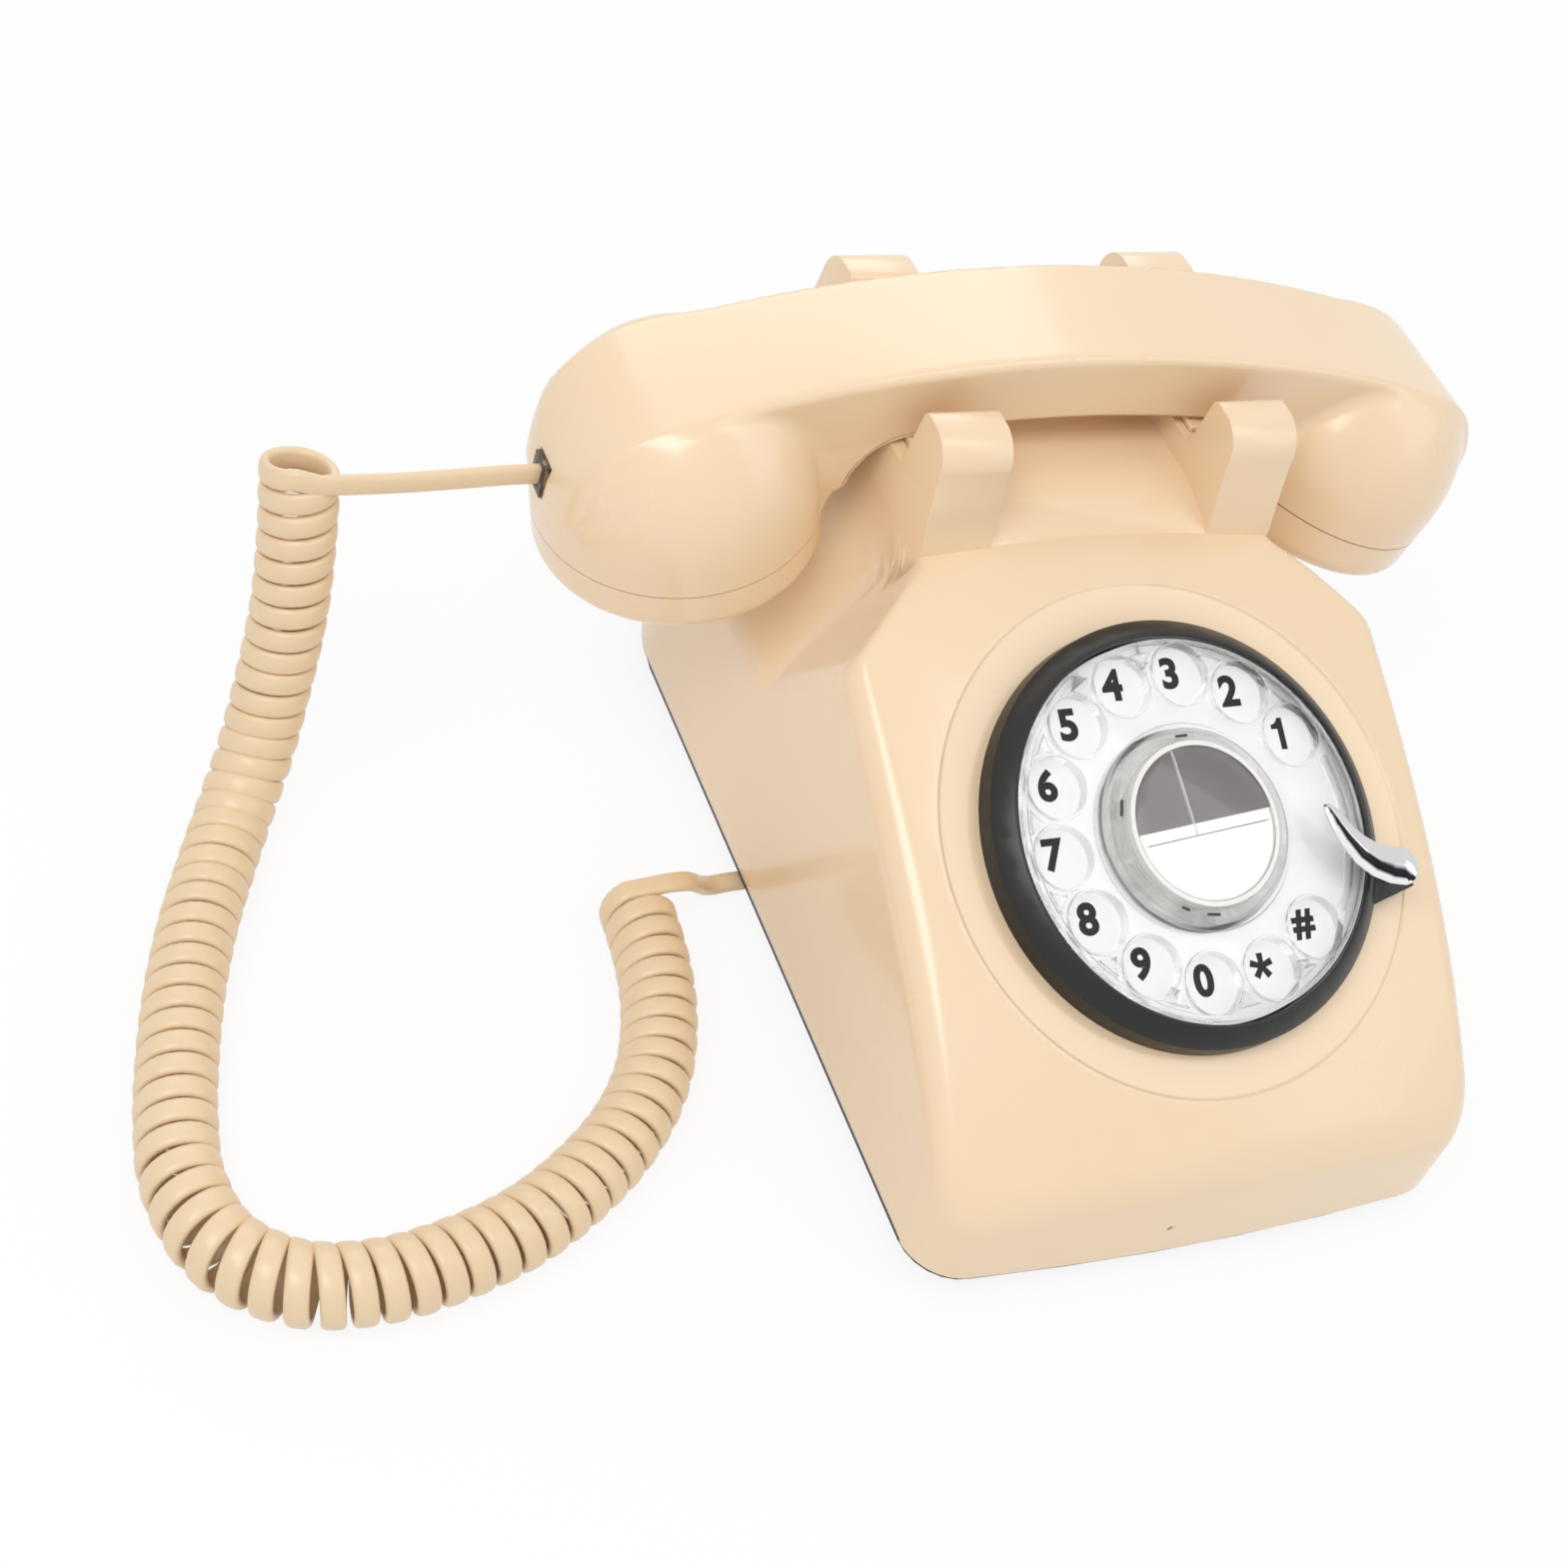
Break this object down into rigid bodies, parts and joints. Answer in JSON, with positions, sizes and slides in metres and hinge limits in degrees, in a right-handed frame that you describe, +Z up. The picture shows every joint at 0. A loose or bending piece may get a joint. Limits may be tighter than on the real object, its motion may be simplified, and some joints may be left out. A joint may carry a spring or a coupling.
{
  "type": "corded landline phone",
  "caption": "Desk telephone with a sloping dial face, clear finger wheel, pronged cradle, lift-off handset and a flat curly cord.",
  "frame": {"origin": "on the table under the middle of the body and handset, measured without the cord", "axes": "+Z up, +X to the right of a person in front of the dial, +Y away from that person"},
  "size_m": [0.315, 0.206, 0.1207],
  "materials": {
    "cream_plastic": "smooth glossy cream moulding",
    "cord_plastic": "satin cream cord jacket",
    "black_plastic": "glossy black",
    "dark_plastic": "matt dark grey",
    "dial_face": "white printed plate",
    "clear_plastic": "clear acrylic",
    "chrome": "polished chrome",
    "steel": "plain steel",
    "gear_plastic": "natural moulded plastic",
    "circuit_board": "green board",
    "rubber": "matt rubber",
    "card": "printed card"
  },
  "bodies": {
    "base": {"housing": "cream_plastic", "base_plate": "black_plastic", "rubber_feet": "rubber", "base_screws": "steel", "dial_bezel": "black_plastic", "dial_carrier": "dark_plastic", "number_plate": "dial_face", "finger_stop": "chrome", "dial_board": "circuit_board", "button_switch": "dark_plastic", "damper_housing": "dark_plastic", "dial_return_spring": "steel", "main_board": "circuit_board", "board_screws": "steel", "loudspeaker": "dark_plastic", "hands_free_microphone": "dark_plastic", "line_socket": "black_plastic", "base_cord_socket": "black_plastic", "ringer_switch": "dark_plastic", "hook_bracket": "dark_plastic", "hook_switch": "dark_plastic", "hook_springs": "steel", "base_plug": "clear_plastic", "base_lead": "cord_plastic", "handset_lead": "cord_plastic", "curly_cord": "cord_plastic"},
    "dial_wheel": {"wheel_hub": "gear_plastic", "finger_wheel": "clear_plastic", "centre_ring": "clear_plastic", "dial_gear": "gear_plastic", "button_spring": "steel"},
    "button": {"centre_button": "clear_plastic", "button_card": "card", "button_lens": "clear_plastic"},
    "damper": {"damper_pinion": "gear_plastic"},
    "hook": {"hook_plungers": "cream_plastic", "hook_bar": "dark_plastic"},
    "ringer_slide": {"ringer_knob": "black_plastic"},
    "handset": {"handset_shell": "cream_plastic", "handset_cover": "cream_plastic", "handset_screws": "steel", "handset_weight": "steel", "receiver_capsule": "dark_plastic", "microphone_capsule": "dark_plastic", "handset_socket": "black_plastic", "handset_plug": "clear_plastic"}
  },
  "joints": [
    {"name": "handset_lift", "type": "slide", "parent": "base", "child": "handset", "axis": [0, 0, 1], "range_m": [0, 0.08], "deforming": ["handset_lead", "curly_cord"]},
    {"name": "hook_rise", "type": "slide", "parent": "base", "child": "hook", "axis": [0, 0, 1], "range_m": [0, 0.0045], "deforming": ["hook_springs"]},
    {"name": "dial_turn", "type": "hinge", "parent": "base", "child": "dial_wheel", "pos_m": [0, -0.0442, 0.0646], "axis": [0, 0.4478, -0.8942], "range_deg": [0, 310], "stiffness_Nm_per_rad": 0.004, "springref_deg": -85.94},
    {"name": "damper_spin", "type": "hinge", "parent": "base", "child": "damper", "pos_m": [-0.02819, -0.05337, 0.06001], "axis": [0, 0.4478, -0.8942], "range_deg": [-930, 0]},
    {"name": "button_press", "type": "slide", "parent": "dial_wheel", "child": "button", "axis": [0, 0.4478, -0.8942], "range_m": [0, 0.0015], "stiffness_N_per_m": 400, "springref_m": -0.001, "deforming": ["button_spring"]},
    {"name": "ringer_level", "type": "slide", "parent": "base", "child": "ringer_slide", "axis": [1, 0, 0], "range_m": [0, 0.004]}
  ],
  "couplings": [
    {"joint": "hook_rise", "follows": "handset_lift", "ratio": 0.05625},
    {"joint": "damper_spin", "follows": "dial_turn", "ratio": -3}
  ]
}
